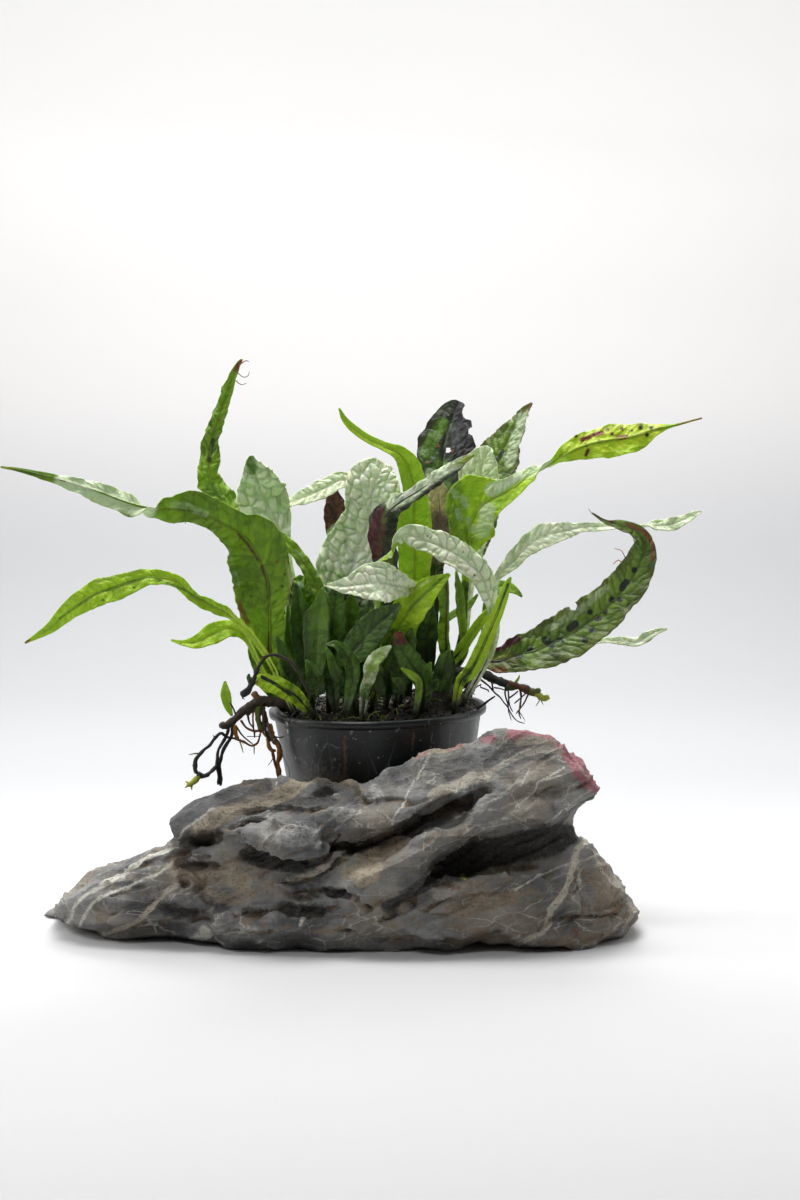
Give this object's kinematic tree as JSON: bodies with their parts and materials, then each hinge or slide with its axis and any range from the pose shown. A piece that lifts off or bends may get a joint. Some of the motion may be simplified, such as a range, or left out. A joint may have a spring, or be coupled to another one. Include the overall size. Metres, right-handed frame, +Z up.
{
  "type": "java fern on stone",
  "caption": "Java fern with long quilted fronds and creeping roots in a dark plastic pot that stands on a layered grey aquarium stone.",
  "frame": {"origin": "centre of the flat underside of the stone, on the surface it stands on", "axes": "+Z up, -Y the front that the picture shows, +X to the right seen from the front, along the stone's length"},
  "size_m": [0.2802, 0.1483, 0.227],
  "materials": {
    "stone_grey": "grey layered limestone with cream veins, tan crust and hollows, matt",
    "pot_plastic": "dark slate moulded plastic, satin, scratched and spattered",
    "peat_fibre": "wet dark peat and root fibre",
    "root_brown": "wet brown creeping stem and roots",
    "charred_stalk": "dead black stalk",
    "leaf_bright": "thin bright yellow-green leaf, light shines through, satin",
    "leaf_green": "mid green leaf with a brown midrib, satin",
    "leaf_deep": "dark green leaf, satin",
    "leaf_pale": "quilted leaf with a pale silvery wet sheen",
    "leaf_mottled": "blistered green leaf with dark spots, wet gloss",
    "leaf_dead": "dead brown papery leaf",
    "leaf_dusky": "green leaf dying back to black and brown"
  },
  "bodies": {
    "root": {"stone": "stone_grey", "pot": "pot_plastic", "growing_medium": "peat_fibre", "rhizome_left": "root_brown", "rhizome_right": "root_brown", "dead_stalk": "charred_stalk", "frond_long_left": "leaf_green", "frond_crumpled_upright": "leaf_deep", "frond_low_left": "leaf_bright", "frond_small_left": "leaf_bright", "frond_blistered_left": "leaf_pale", "frond_reaching_arm": "leaf_pale", "frond_strap_left": "leaf_green", "frond_broad_quilted": "leaf_pale", "frond_smooth_bright": "leaf_bright", "frond_dead_edged": "leaf_dusky", "frond_dead_brown": "leaf_dead", "frond_dead_beige": "leaf_dead", "frond_black_topped": "leaf_dusky", "frond_mottled_point": "leaf_mottled", "frond_round_pale": "leaf_pale", "frond_spotted_right": "leaf_bright", "frond_arched_pale": "leaf_pale", "frond_bright_strap": "leaf_bright", "frond_short_strap": "leaf_bright", "frond_pale_long_right": "leaf_pale", "frond_small_behind": "leaf_green", "frond_mottled_right": "leaf_mottled", "frond_small_right": "leaf_pale", "frond_glossy_left": "leaf_green", "frond_cut_left": "leaf_bright", "frond_dark_centre": "leaf_deep", "frond_dark_diagonal": "leaf_deep", "frond_curled_tip": "leaf_deep", "frond_red_tipped": "leaf_deep", "frond_pale_curled": "leaf_pale", "frond_tiny_bright": "leaf_green", "frond_wavy_thin": "leaf_green", "frond_wavy_short": "leaf_green", "frond_thin_diagonal": "leaf_green", "frond_curled_green": "leaf_bright", "frond_forward_quilted": "leaf_pale", "sprout_left": "leaf_bright"}
  },
  "joints": []
}
